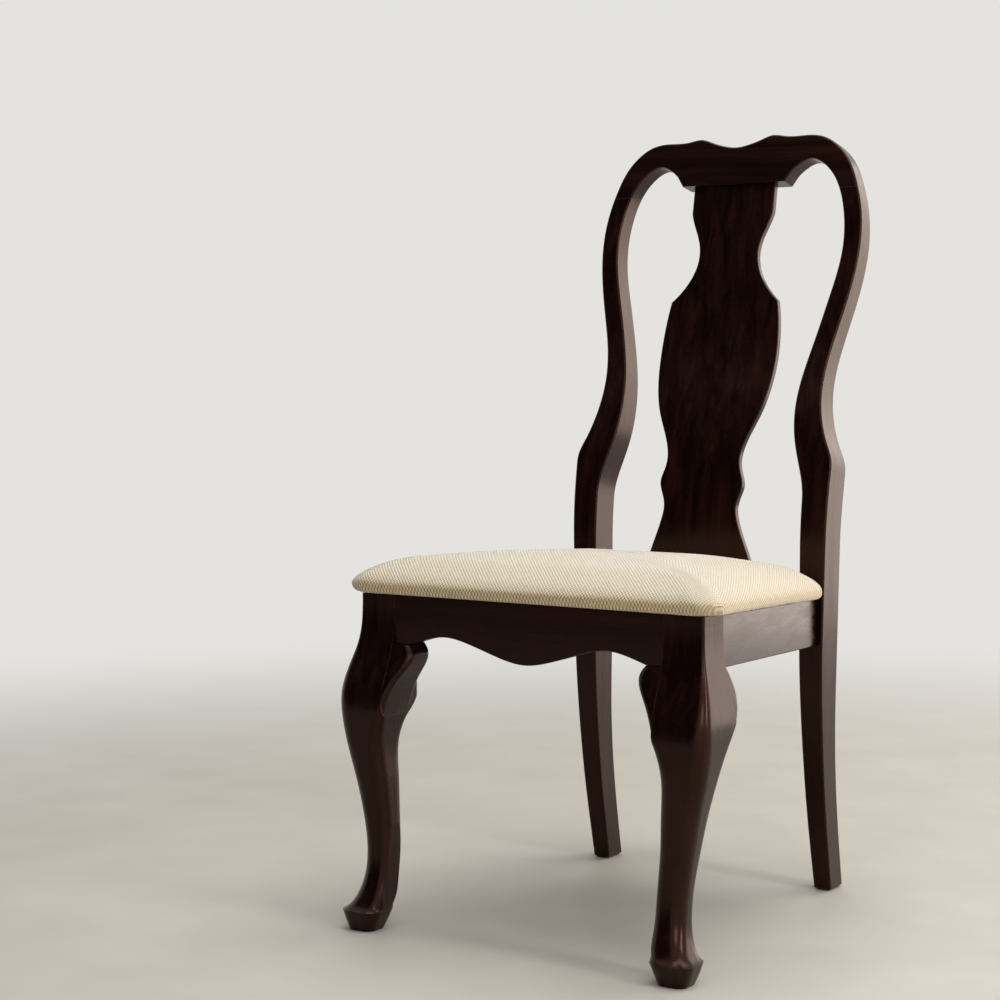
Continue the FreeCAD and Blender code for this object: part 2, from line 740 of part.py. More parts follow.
def dust_cover():
    """Thin cloth that closes the underside of the seat inside the rails."""
    margin = dust_cover_margin
    front, notch = rail_thickness + margin, leg_post_depth + margin
    rear = seat_frame_depth - margin
    half = [
        (post_inner - margin, front), (post_inner - margin, notch),
        (rail_inner(notch) - margin * rail_skew, notch), (rail_inner(rear) - margin * rail_skew, rear),
    ]
    right = [vec(x, y, -dust_cover_thickness) for x, y in half]
    left = [vec(-point.x, point.y, point.z) for point in reversed(right)]
    return polygon(right + left).extrude(vec(0, 0, dust_cover_thickness))


def staple_places():
    """Middle and direction of each staple, along the hem."""
    front = staple_inset - cushion_overhang
    rear = seat_frame_depth - cushion_back_gap - staple_inset
    along = vec(1, 0, 0)
    places = [(vec(x, front, 0), along) for x in front_staples]
    places += [(vec(x, rear, 0), along) for x in rear_staples]
    side_way = Z_AXIS.cross(rail_normal)
    for y in side_staples:
        x = rail_outer(y) + (cushion_overhang - staple_inset) * rail_skew
        places.append((vec(x, y, 0), side_way))
        places.append((vec(-x, y, 0), vec(-side_way.x, side_way.y, 0)))
    return places


def staple(place, way, clearance=0.0):
    """Wire staple pushed up through the dust cover and the hem into the board."""
    half, wire = staple_crown / 2, staple_wire / 2 + clearance
    low = -dust_cover_thickness - staple_wire - clearance
    tip = low + staple_leg + 2 * clearance
    crown = block(vec(-half, -wire, low), vec(half, wire, -dust_cover_thickness))
    legs = [block(vec(x - wire, -wire, low), vec(x + wire, wire, tip)) for x in (wire - half, half - wire)]
    piece = crown.fuse(legs).removeSplitter()
    piece.rotate(vec(0, 0, 0), Z_AXIS, math.degrees(math.atan2(way.y, way.x)))
    piece.translate(place)
    return piece


# The chair

def chair():
    """Every piece of the chair, by name."""
    staples = [staple(place, way) for place, way in staple_places()]
    staple_holes = [staple(place, way, staple_clearance) for place, way in staple_places()]
    corners = (front_corner, rear_corner)
    seat_screws = both_sides([seat_screw(corner) for corner in corners])
    seat_screw_holes = both_sides([seat_screw(corner, screw_clearance) for corner in corners])
    rail_screw_holes = both_sides(block_screws(front_corner, screw_clearance))
    rail_screw_holes += both_sides(block_screws(rear_corner, screw_clearance))

    back_post, crest = back_pieces()
    joint = max(back_post.Faces, key=lambda face: face.CenterOfMass.z).CenterOfMass

    front_holes = front_dowels(dowel_clearance)
    side_holes = side_dowels(dowel_clearance)
    rear_holes = rear_dowels(dowel_clearance)
    crest_holes = crest_dowels(joint, dowel_clearance)
    rights = {
        "front_leg": front_leg().cut(front_holes + side_holes),
        "knee_block_front": front_knee_block(),
        "knee_block_side": side_knee_block(),
        "side_seat_rail": side_rail().cut(side_holes + rail_screw_holes),
        "back_post": back_post.cut(side_holes + rear_holes + crest_holes),
        "corner_block_front": corner_block(front_corner),
        "corner_block_rear": corner_block(rear_corner),
    }
    pieces = {}
    for name, shape in rights.items():
        pieces[name + "_right"] = shape
        pieces[name + "_left"] = mirrored(shape)
    pieces["front_seat_rail"] = front_rail().cut(both_sides(front_holes) + rail_screw_holes)
    pieces["rear_seat_rail"] = rear_rail().cut(both_sides(rear_holes) + rail_screw_holes)
    pieces["crest_rail"] = crest.cut(both_sides(crest_holes) + [crest_tenon(tenon_clearance)])
    pieces["back_splat"] = splat()
    pieces["front_rail_dowels"] = Part.makeCompound(both_sides(front_dowels()))
    pieces["side_rail_dowels"] = Part.makeCompound(both_sides(side_dowels()))
    pieces["rear_rail_dowels"] = Part.makeCompound(both_sides(rear_dowels()))
    pieces["crest_dowels"] = Part.makeCompound(both_sides(crest_dowels(joint)))
    block_screw_set = both_sides(block_screws(front_corner) + block_screws(rear_corner))
    pieces["corner_block_screws"] = Part.makeCompound(block_screw_set)
    pieces["seat_screws"] = Part.makeCompound(seat_screws)
    pieces["seat_board"] = on_seat(seat_board().cut(staple_holes)).cut(seat_screw_holes)
    pieces["seat_foam"] = on_seat(seat_foam())
    pieces["seat_cover"] = on_seat(seat_cover().cut(staple_holes)).cut(seat_screw_holes)
    pieces["dust_cover"] = on_seat(dust_cover().cut(staple_holes)).cut(seat_screw_holes)
    pieces["cover_staples"] = on_seat(Part.makeCompound(staples))
    return pieces


pieces = chair()
front_limit = pieces["front_leg_right"].optimalBoundingBox(False).YMin
rear_limit = pieces["crest_rail"].optimalBoundingBox(False).YMax
os.makedirs("parts", exist_ok=True)
for name, shape in pieces.items():
    shape.translate(vec(0, -(front_limit + rear_limit) / 2, 0))
    shape.exportStep("parts/" + name + ".step")
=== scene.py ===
"""Looks of a dining chair with cabriole legs: lacquered frame, woven seat and a plain studio."""

import logging
import math
from dataclasses import dataclass
from enum import Enum
from typing import Any

import bpy
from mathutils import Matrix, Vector, noise


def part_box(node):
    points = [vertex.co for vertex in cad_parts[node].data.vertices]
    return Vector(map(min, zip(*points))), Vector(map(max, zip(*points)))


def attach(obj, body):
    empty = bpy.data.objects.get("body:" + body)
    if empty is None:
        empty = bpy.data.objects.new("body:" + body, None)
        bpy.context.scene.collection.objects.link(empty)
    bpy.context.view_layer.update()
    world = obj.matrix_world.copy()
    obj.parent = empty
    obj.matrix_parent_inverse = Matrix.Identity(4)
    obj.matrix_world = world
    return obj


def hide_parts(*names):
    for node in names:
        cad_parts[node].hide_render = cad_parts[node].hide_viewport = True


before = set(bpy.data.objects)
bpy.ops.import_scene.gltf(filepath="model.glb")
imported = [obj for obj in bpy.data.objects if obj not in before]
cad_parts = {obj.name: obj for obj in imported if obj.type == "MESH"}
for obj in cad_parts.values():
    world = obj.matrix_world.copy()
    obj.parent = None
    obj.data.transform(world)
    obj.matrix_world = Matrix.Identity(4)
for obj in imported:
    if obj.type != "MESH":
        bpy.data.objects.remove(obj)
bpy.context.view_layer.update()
LOG = logging.getLogger("dining_chair")
MM = 0.001


def linear(colour: str) -> tuple[float, float, float, float]:
    """Turn an sRGB hex colour into linear RGBA.

    Args:
        colour: six hex digits after a hash sign.

    Returns:
        Linear red, green, blue and an alpha of 1.
    """
    parts = [int(colour[place:place + 2], 16) / 255 for place in (1, 3, 5)]
    rgb = [part / 12.92 if part <= 0.04045 else ((part + 0.055) / 1.055) ** 2.4 for part in parts]
    return rgb[0], rgb[1], rgb[2], 1.0


def add_node(tree: bpy.types.NodeTree, kind: str, inputs: dict[Any, Any], **settings: Any) -> bpy.types.Node:
    """Add a shader node, set it up and link it.

    Args:
        tree: node tree that gets the node.
        kind: Blender's name of the node type.
        inputs: socket name or number, to a value or to another node's output.
        settings: properties of the node itself.

    Returns:
        The new node.
    """
    node = tree.nodes.new(kind)
    for name, value in settings.items():
        setattr(node, name, value)
    for socket, value in inputs.items():
        if isinstance(value, bpy.types.NodeSocket):
            tree.links.new(value, node.inputs[socket])
        else:
            node.inputs[socket].default_value = value
    return node


def shade(ramp: bpy.types.Node, stops: tuple[tuple[float, str], ...]) -> bpy.types.NodeSocket:
    """Set the colours of a ramp node.

    Args:
        ramp: colour ramp node.
        stops: position and hex colour of each stop, at least two.

    Returns:
        The ramp's colour output.
    """
    elements = ramp.color_ramp.elements
    while len(elements) < len(stops):
        elements.new(0.5)
    for element, (position, colour) in zip(elements, stops):
        element.position = position
        element.color = linear(colour)
    return ramp.outputs["Color"]


def new_material(name: str) -> tuple[bpy.types.Material, bpy.types.NodeTree, bpy.types.Node]:
    """Start a material that holds only its surface shader.

    Args:
        name: name of the material.

    Returns:
        The material, its node tree and its surface shader.
    """
    material = bpy.data.materials.new(name)
    material.use_nodes = True
    tree = material.node_tree
    tree.nodes.clear()
    surface = add_node(tree, "ShaderNodeBsdfPrincipled", {})
    add_node(tree, "ShaderNodeOutputMaterial", {"Surface": surface.outputs["BSDF"]})
    return material, tree, surface


class Grain(Enum):
    """Way that the grain of a piece of wood runs, as shares of its stretch on each axis."""

    ACROSS = (0.05, 1.0, 1.0)
    DEPTH = (1.0, 0.05, 1.0)
    UPRIGHT = (1.0, 1.0, 0.05)


@dataclass(frozen=True)
class Wood:
    """Planed wood, bare or under lacquer: growth bands, fine fibres and rubbed arrises."""

    name: str
    dark: str
    middle: str
    light: str
    rubbed: str
    tint: str
    roughness: tuple[float, float]
    ior: float
    coat: float
    coat_roughness: float
    band_mm: float = 14.0
    fibre_mm: float = 1.6
    fibre_share: float = 0.42
    tones: tuple[float, float, float] = (0.34, 0.52, 0.70)
    bump_mm: float = 0.05
    bump_strength: float = 0.25
    arris_mm: float = 0.6
    # Cosines of the turn at an arris, from rubbed through to whole, and the most that is rubbed off.
    worn_turn: tuple[float, float] = (0.8, 0.98)
    worn_share: float = 0.6

    def material(self, grain: Grain) -> bpy.types.Material:
        """Make the wood's material.

        Args:
            grain: way that the grain runs.

        Returns:
            The material.
        """
        material, tree, surface = new_material(f"{self.name}_{grain.name.lower()}")
        place = add_node(tree, "ShaderNodeTexCoord", {}).outputs["Object"]
        along = add_node(tree, "ShaderNodeMapping", {"Vector": place, "Scale": grain.value}).outputs["Vector"]
        bands = add_node(tree, "ShaderNodeTexNoise", {
            "Vector": along, "Scale": 1 / (self.band_mm * MM), "Detail": 2.0, "Distortion": 0.6})
        fibres = add_node(tree, "ShaderNodeTexNoise", {
            "Vector": along, "Scale": 1 / (self.fibre_mm * MM), "Detail": 3.0, "Roughness": 0.6})
        mixed = add_node(tree, "ShaderNodeMix", {
            0: self.fibre_share, 2: bands.outputs["Fac"], 3: fibres.outputs["Fac"]}, data_type="FLOAT")
        ramp = add_node(tree, "ShaderNodeValToRGB", {"Fac": mixed.outputs[0]})
        colour = shade(ramp, tuple(zip(self.tones, (self.dark, self.middle, self.light))))
        rounded = add_node(tree, "ShaderNodeBevel", {"Radius": self.arris_mm * MM}).outputs["Normal"]
        facing = add_node(tree, "ShaderNodeNewGeometry", {}).outputs["Normal"]
        even = add_node(tree, "ShaderNodeVectorMath", {0: rounded, 1: facing}, operation="DOT_PRODUCT")
        wear = add_node(tree, "ShaderNodeMapRange", {
            "Value": even.outputs["Value"], "From Min": self.worn_turn[0], "From Max": self.worn_turn[1],
            "To Min": self.worn_share, "To Max": 0.0})
        worn = add_node(tree, "ShaderNodeMix", {
            0: wear.outputs["Result"], 6: colour, 7: linear(self.rubbed)}, data_type="RGBA")
        gloss = add_node(tree, "ShaderNodeMapRange", {
            "Value": bands.outputs["Fac"], "From Min": 0.3, "From Max": 0.7,
            "To Min": self.roughness[0], "To Max": self.roughness[1]})
        bump = add_node(tree, "ShaderNodeBump", {
            "Height": fibres.outputs["Fac"], "Normal": rounded,
            "Strength": self.bump_strength, "Distance": self.bump_mm * MM})
        tree.links.new(worn.outputs[2], surface.inputs["Base Color"])
        tree.links.new(gloss.outputs["Result"], surface.inputs["Roughness"])
        tree.links.new(bump.outputs["Normal"], surface.inputs["Normal"])
        tree.links.new(rounded, surface.inputs["Coat Normal"])
        surface.inputs["Specular Tint"].default_value = linear(self.tint)
        surface.inputs["IOR"].default_value = self.ior
        surface.inputs["Coat Weight"].default_value = self.coat
        surface.inputs["Coat Roughness"].default_value = self.coat_roughness
        return material


@dataclass(frozen=True)
class Plywood:
    """Sanded plywood: thin plies of turned grain, stacked upwards."""

    name: str
    dark: str
    light: str
    ply_mm: float = 1.5
    fibre_mm: float = 2.4
    fibre_share: float = 0.6
    roughness: float = 0.7

    def material(self) -> bpy.types.Material:
        """Make the board's material.

        Returns:
            The material.
        """
        material, tree, surface = new_material(self.name)
        place = add_node(tree, "ShaderNodeTexCoord", {}).outputs["Object"]
        # At a scale of 1 the wave texture repeats after pi / 10 metres; here after a pale and a dark ply.
        plies = add_node(tree, "ShaderNodeTexWave", {
            "Vector": place, "Scale": math.pi / (10 * 2 * self.ply_mm * MM), "Distortion": 0.4},
            bands_direction="Z")
        along = add_node(tree, "ShaderNodeMapping", {"Vector": place, "Scale": Grain.DEPTH.value})
        fibres = add_node(tree, "ShaderNodeTexNoise", {
            "Vector": along.outputs["Vector"], "Scale": 1 / (self.fibre_mm * MM), "Detail": 3.0})
        mixed = add_node(tree, "ShaderNodeMix", {
            0: self.fibre_share, 2: plies.outputs["Fac"], 3: fibres.outputs["Fac"]}, data_type="FLOAT")
        ramp = add_node(tree, "ShaderNodeValToRGB", {"Fac": mixed.outputs[0]})
        tree.links.new(shade(ramp, ((0.25, self.dark), (0.75, self.light))), surface.inputs["Base Color"])
        surface.inputs["Roughness"].default_value = self.roughness
        return material


@dataclass(frozen=True)
class PlatedSteel:
    """Zinc plated steel: a dull grey shine with fine rubbing marks."""

    name: str
    dark: str
    light: str
    scratch_mm: float = 0.6
    roughness: tuple[float, float] = (0.25, 0.45)

    def material(self) -> bpy.types.Material:
        """Make the metal's material.

        Returns:
            The material.
        """
        material, tree, surface = new_material(self.name)
        place = add_node(tree, "ShaderNodeTexCoord", {}).outputs["Object"]
        marks = add_node(tree, "ShaderNodeTexNoise", {
            "Vector": place, "Scale": 1 / (self.scratch_mm * MM), "Detail": 4.0})
        ramp = add_node(tree, "ShaderNodeValToRGB", {"Fac": marks.outputs["Fac"]})
        tree.links.new(shade(ramp, ((0.3, self.dark), (0.7, self.light))), surface.inputs["Base Color"])
        gloss = add_node(tree, "ShaderNodeMapRange", {
            "Value": marks.outputs["Fac"], "To Min": self.roughness[0], "To Max": self.roughness[1]})
        tree.links.new(gloss.outputs["Result"], surface.inputs["Roughness"])
        surface.inputs["Metallic"].default_value = 1.0
        return material


@dataclass(frozen=True)
class SpunCloth:
    """Thin black spun-bonded cloth: a felted mass of short fibres."""

    name: str
    dark: str
    light: str
    fibre_mm: float = 1.2
    relief_mm: float = 0.2
    relief_strength: float = 0.4
    roughness: float = 0.9

    def material(self) -> bpy.types.Material:
        """Make the cloth's material.

        Returns:
            The material.
        """
        material, tree, surface = new_material(self.name)
        place = add_node(tree, "ShaderNodeTexCoord", {}).outputs["Object"]
        fibres = add_node(tree, "ShaderNodeTexNoise", {
            "Vector": place, "Scale": 1 / (self.fibre_mm * MM), "Detail": 4.0, "Distortion": 2.0})
        ramp = add_node(tree, "ShaderNodeValToRGB", {"Fac": fibres.outputs["Fac"]})
        tree.links.new(shade(ramp, ((0.35, self.dark), (0.7, self.light))), surface.inputs["Base Color"])
        bump = add_node(tree, "ShaderNodeBump", {
            "Height": fibres.outputs["Fac"], "Strength": self.relief_strength,
            "Distance": self.relief_mm * MM})
        tree.links.new(bump.outputs["Normal"], surface.inputs["Normal"])
        surface.inputs["Roughness"].default_value = self.roughness
        return material


@dataclass(frozen=True)
class WovenCloth:
    """Ivory basket cloth: staggered rows of small pebbles, each of a few parallel threads."""

    name: str
    painted_pit_shade: str
    ground: str
    pebble: str
    uv_map: str = "weave"
    pebble_mm: float = 4.7
    row_mm: float = 3.6
    thread_mm: float = 1.2
    thread_share: float = 0.05
    slub_mm: float = 9.0
    slub_share: float = 0.3
    relief_mm: float = 0.6
    # Painted shade: the less the cloth faces upwards, the further its tone drops towards the darkest colour,
    # so the sides come out tan and darker than the top.
    painted_side_shade: float = 0.25
    painted_side_shade_turn: tuple[float, float] = (0.1, 0.85)
    roughness: float = 0.85
    sheen: float = 0.7
    sheen_roughness: float = 0.35

    def wave(self, tree: bpy.types.NodeTree, along: bpy.types.NodeSocket,
             period_mm: float) -> bpy.types.NodeSocket:
        """Add a sine along one coordinate.

        Args:
            tree: node tree of the cloth.
            along: coordinate in metres.
            period_mm: length of one wave.

        Returns:
            The sine, from -1 to 1.
        """
        turns = add_node(tree, "ShaderNodeMath", {
            0: along, 1: 2 * math.pi / (period_mm * MM)}, operation="MULTIPLY")
        return add_node(tree, "ShaderNodeMath", {0: turns.outputs[0]}, operation="SINE").outputs[0]

    def material(self) -> bpy.types.Material:
        """Make the cloth's material.

        Returns:
            The material.
        """
        material, tree, surface = new_material(self.name)
        laid = add_node(tree, "ShaderNodeUVMap", {}, uv_map=self.uv_map).outputs["UV"]
        slubs = add_node(tree, "ShaderNodeTexNoise", {
            "Vector": laid, "Scale": 1 / (self.slub_mm * MM), "Detail": 3.0}).outputs["Fac"]
        threads = add_node(tree, "ShaderNodeSeparateXYZ", {0: laid})
        across, along = threads.outputs["X"], threads.outputs["Y"]
        pebbles = add_node(tree, "ShaderNodeMath", {
            0: self.wave(tree, across, self.pebble_mm), 1: self.wave(tree, along, 2 * self.row_mm)},
            operation="MULTIPLY").outputs[0]
        raised = add_node(tree, "ShaderNodeMapRange", {"Value": pebbles, "From Min": -1.0}).outputs["Result"]
        height = add_node(tree, "ShaderNodeMath", {
            0: self.wave(tree, across, self.thread_mm), 1: self.thread_share, 2: raised},
            operation="MULTIPLY_ADD").outputs[0]
        # Tone of the weave itself, with its slubs, before the painted shade on the sides.
        closed = add_node(tree, "ShaderNodeMath", {
            0: slubs, 1: self.slub_share, 2: height}, operation="MULTIPLY_ADD").outputs[0]
        # Painted shade on the sides, stronger the less a face points upwards, taken off the weave's tone.
        upward = add_node(tree, "ShaderNodeSeparateXYZ", {
            0: add_node(tree, "ShaderNodeNewGeometry", {}).outputs["Normal"]}).outputs["Z"]
        painted_side_shade = add_node(tree, "ShaderNodeMapRange", {
            "Value": upward, "From Min": self.painted_side_shade_turn[0], "From Max": self.painted_side_shade_turn[1],
            "To Min": self.painted_side_shade, "To Max": 0.0})
        tone = add_node(tree, "ShaderNodeMath", {
            0: closed, 1: painted_side_shade.outputs["Result"]}, operation="SUBTRACT").outputs[0]
        # Painted shade in the hollows: the lower a point of the weave, the darker and tanner its colour.
        ramp = add_node(tree, "ShaderNodeValToRGB", {"Fac": tone})
        stops = ((0.15, self.painted_pit_shade), (0.55, self.ground), (1.0, self.pebble))
        tree.links.new(shade(ramp, stops), surface.inputs["Base Color"])
        bump = add_node(tree, "ShaderNodeBump", {
            "Height": height, "Strength": 1.0, "Distance": self.relief_mm * MM})
        tree.links.new(bump.outputs["Normal"], surface.inputs["Normal"])
        surface.inputs["Roughness"].default_value = self.roughness
        surface.inputs["Sheen Weight"].default_value = self.sheen
        surface.inputs["Sheen Roughness"].default_value = self.sheen_roughness
        return material


def dress(name: str, material: bpy.types.Material) -> None:
    """Give a CAD node its material.

    Args:
        name: name of the node.
        material: material that covers all of it.
    """
    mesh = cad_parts[name].data
    mesh.materials.clear()
    mesh.materials.append(material)
    LOG.info("%s wears %s", name, material.name)


def only(piece: bpy.types.Object) -> None:
    """Make a piece the only selected and active object.

    Args:
        piece: the object.
    """
    bpy.ops.object.select_all(action="DESELECT")
    piece.select_set(True)
    bpy.context.view_layer.objects.active = piece


@dataclass
class LacqueredFrame:
    """Legs, rails, posts, crest and splat under dark satin lacquer."""

    # Espresso lacquer over mahogany: near black face on, red brown where light grazes it.
    lacquer: Wood = Wood(
        "lacquered_mahogany", dark="#080303", middle="#140705", light="#240d08", rubbed="#5c2a1b",
        tint="#f4b296", roughness=(0.22, 0.32), ior=1.38, coat=0.06, coat_roughness=0.1)

    def build(self) -> None:
        """Dress every piece of the frame along its own grain."""
        upright = self.lacquer.material(Grain.UPRIGHT)
        across = self.lacquer.material(Grain.ACROSS)
        depth = self.lacquer.material(Grain.DEPTH)
        for side in ("left", "right"):
            for piece in ("front_leg", "back_post", "knee_block_front", "knee_block_side"):
                dress(f"{piece}_{side}", upright)
            dress(f"side_seat_rail_{side}", depth)
        for piece in ("front_seat_rail", "rear_seat_rail", "crest_rail"):
            dress(piece, across)
        dress("back_splat", upright)


@dataclass
class Joinery:
    """Corner blocks, dowels, screws and staples, mostly out of sight."""

    # Bare planed hardwood, paler and rougher than the lacquered faces.
    bare_wood: Wood = Wood(
        "bare_beech", dark="#8f6a41", middle="#a9814f", light="#c39a66", rubbed="#b58f5c",
        tint="#ffffff", roughness=(0.55, 0.7), ior=1.5, coat=0.0, coat_roughness=0.3)
    # Zinc plating: small cool glints on screw heads and staples, dulled by rubbing.
    steel: PlatedSteel = PlatedSteel("zinc_plated_steel", "#9b9c9e", "#c9cacc")

    def build(self) -> None:
        """Dress the blocks, dowels, screws and staples."""
        block_wood = self.bare_wood.material(Grain.ACROSS)
        dowel_wood = self.bare_wood.material(Grain.DEPTH)
        metal = self.steel.material()
        for end in ("front", "rear"):
            for side in ("left", "right"):
                dress(f"corner_block_{end}_{side}", block_wood)
        for joint in ("front_rail", "side_rail", "rear_rail", "crest"):
            dress(f"{joint}_dowels", dowel_wood)
        for fastener in ("corner_block_screws", "seat_screws", "cover_staples"):
            dress(fastener, metal)


@dataclass
class SeatPlane:
    """Sloping plane of the rails' top, on which the seat lies."""

    slope_degrees: float = 2.9

    def __post_init__(self) -> None:
        """Take the height and the front face of the rails from the frame."""
        low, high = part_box("front_seat_rail")
        self.front: float = low[1]
        self.top: float = high[2]
        self.slope: float = math.radians(self.slope_degrees)

    def height(self, point: Vector) -> float:
        """Measure a point's height over the plane.

        Args:
            point: place in metres.

        Returns:
            Height in metres.
        """
        return (point.z - self.top) * math.cos(self.slope) + (point.y - self.front) * math.sin(self.slope)

    def level(self, y: float, height: float) -> float:
        """Find how high a point stands that is a given height over the plane.

        Args:
            y: place from front to back.
            height: height over the plane.

        Returns:
            The point's z.
        """
        return self.top - (y - self.front) * math.tan(self.slope) + height / math.cos(self.slope)


@dataclass
class Cushion:
    """Stuffed seat: a cover pulled over foam and stapled under the board."""

    plane: SeatPlane
    voxel_mm: float = 6.0
    start_inset_mm: float = 2.0
    swell_cap_mm: float = 4.0
    held_mm: float = 5.0
    full_mm: float = 8.0
    full_height_mm: float = 44.0
    # The sides follow a half wave, entered at this share of it where they leave the rails.
    side_start: float = 0.3
    smooth_turns: int = 14
    rim_mm: float = 4.0
    rim_blend_mm: float = 12.0
    rim_steps: int = 6
    shoulder_mm: float = 25.0
    crown_share: float = 0.85
    back_clear_mm: float = 1.0
    back_bulge_mm: float = 11.0
    back_reach_mm: float = 40.0
    between_posts_mm: tuple[float, float] = (136.0, 153.0)
    rest_mm: float = 0.3
    pressure: float = 4.0
    frames: int = 20
    # Undyed cotton in a coarse basket weave: soft pebbles that show where light grazes them.
    # The first colour is painted shade, for the weave's hollows and the cushion's sides.
    weave: WovenCloth = WovenCloth("ivory_basket_weave", "#b29158", "#e2d2b0", "#f4eee2")

    def stuffed_form(self) -> bpy.types.Object:
        """Join the cover, foam and board into one closed, evenly meshed form.

        Returns:
            The form, a little smaller than the finished cushion.
        """
        bpy.ops.object.select_all(action="DESELECT")
        for name in ("seat_cover", "seat_foam", "seat_board"):
            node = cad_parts[name]
            copied = bpy.data.objects.new("stuffing", node.data.copy())
            bpy.context.scene.collection.objects.link(copied)
            copied.select_set(True)
            bpy.context.view_layer.objects.active = copied
        bpy.ops.object.join()
        form = bpy.context.view_layer.objects.active
        form.name = form.data.name = "seat_cushion"
        form.data.remesh_voxel_size = self.voxel_mm * MM
        bpy.ops.object.voxel_remesh()
        shrink = form.modifiers.new("shrink", "DISPLACE")
        shrink.strength = -self.start_inset_mm * MM
        shrink.mid_level = 0.0
        bpy.ops.object.modifier_apply(modifier=shrink.name)
        return form

    def swell(self, form: bpy.types.Object) -> None:
        """Blow the form up against its stapled lower edge, so that the cloth pulls tight.

        Args:
            form: the closed form.
        """
        start = [vertex.co.copy() for vertex in form.data.vertices]
        held = form.vertex_groups.new(name="stapled")
        low = [index for index, point in enumerate(start) if self.plane.height(point) < self.held_mm * MM]
        held.add(low, 1.0, "REPLACE")
        cloth = form.modifiers.new("cloth", "CLOTH")
        cloth.settings.vertex_group_mass = held.name
        cloth.settings.use_pressure = True
        cloth.settings.uniform_pressure_force = self.pressure
        cloth.settings.effector_weights.gravity = 0.0
        scene = bpy.context.scene
        for number in range(1, self.frames + 1):
            scene.frame_set(number)
        only(form)
        bpy.ops.object.modifier_apply(modifier=cloth.name)
        scene.frame_set(1)
        limit = self.swell_cap_mm * MM
        for vertex, origin in zip(form.data.vertices, start):
            move = vertex.co - origin
            if move.length > limit:
                vertex.co = origin + move * (limit / move.length)
        form.vertex_groups.clear()

    def fill_out(self, form: bpy.types.Object) -> None:
        """Round all sides outwards under the shoulder, and ease the crown above it.

        Args:
            form: the swollen form.
        """
        outward = [Vector((vertex.normal.x, vertex.normal.y, 0.0)) for vertex in form.data.vertices]
        for vertex, way in zip(form.data.vertices, outward):
            height = self.plane.height(vertex.co)
            share = max(height, 0.0) / (self.full_height_mm * MM)
            if share < 1:
                turn = math.pi * (self.side_start + (1 - self.side_start) * share)
                vertex.co += way * (math.sin(turn) * self.full_mm * MM)
            if height > self.shoulder_mm * MM:
                vertex.co.z -= (height - self.shoulder_mm * MM) * (1 - self.crown_share)

    def settle(self, form: bpy.types.Object) -> None:
        """Smooth the form, and keep it on the rails, in front of the back posts and full between them.

        Args:
            form: the swollen form.
        """
        only(form)
        free = form.vertex_groups.new(name="free")
        heights = [self.plane.height(vertex.co) / MM for vertex in form.data.vertices]
        rises = [(height - self.rim_mm) / self.rim_blend_mm for height in heights]
        for step in range(1, self.rim_steps + 1):
            above = [index for index, rise in enumerate(rises) if rise > (step - 0.5) / self.rim_steps]
            free.add(above, step / self.rim_steps, "REPLACE")
        even = form.modifiers.new("even", "SMOOTH")
        even.iterations = self.smooth_turns
        even.vertex_group = free.name
        bpy.ops.object.modifier_apply(modifier=even.name)
        form.vertex_groups.clear()
        self.fill_out(form)
        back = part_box("seat_cover")[1][1] + self.back_clear_mm * MM
        inner, outer = self.between_posts_mm
        for vertex in form.data.vertices:
            # The back swells out between the posts, fading towards them and towards the front.
            y = min(vertex.co.y, back)
            share = min(max((outer - abs(vertex.co.x) / MM) / (outer - inner), 0.0), 1.0)
            near = max(1 - (back - y) / (self.back_reach_mm * MM), 0.0)
            vertex.co.y = y + self.back_bulge_mm * MM * share ** 2 * (3 - 2 * share) * near
            # The lower edge comes down by what the form lost at the start, onto the rails.
            low = max(1 - self.plane.height(vertex.co) / (self.rim_blend_mm * MM), 0.0)
            vertex.co.z -= self.start_inset_mm * MM * low
            vertex.co.z = max(vertex.co.z, self.plane.level(vertex.co.y, self.rest_mm * MM))
        fine = form.modifiers.new("fine", "SUBSURF")
        fine.levels = fine.render_levels = 1
        bpy.ops.object.modifier_apply(modifier=fine.name)
        bpy.ops.object.shade_smooth()

    def lay_weave(self, form: bpy.types.Object) -> None:
        """Lay the threads over the cushion, so that the rows run on from its top down its sides.

        Args:
            form: the finished form.
        """
        heights = [self.plane.height(vertex.co) for vertex in form.data.vertices]
        crown = max(heights)
        places = []
        for vertex, height in zip(form.data.vertices, heights):
            steep = Vector((vertex.normal.x, vertex.normal.y))
            share = steep / max(steep.length, 1e-6)
            across = vertex.co.x + math.copysign(share.x ** 2, share.x) * (crown - height)
            along = vertex.co.y + math.copysign(share.y ** 2, share.y) * (crown - height)
            places.append((across, along))
        threads = form.data.uv_layers.new(name=self.weave.uv_map)
        for loop in form.data.loops:
            threads.data[loop.index].uv = places[loop.vertex_index]

    def build(self) -> None:
        """Make the cushion that stands for the CAD's cover and foam."""
        form = self.stuffed_form()
        self.swell(form)
        self.settle(form)
        self.lay_weave(form)
        form.data.materials.clear()
        form.data.materials.append(self.weave.material())
        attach(form, "root")
        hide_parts("seat_cover", "seat_foam")
        LOG.info("%s made", form.name)


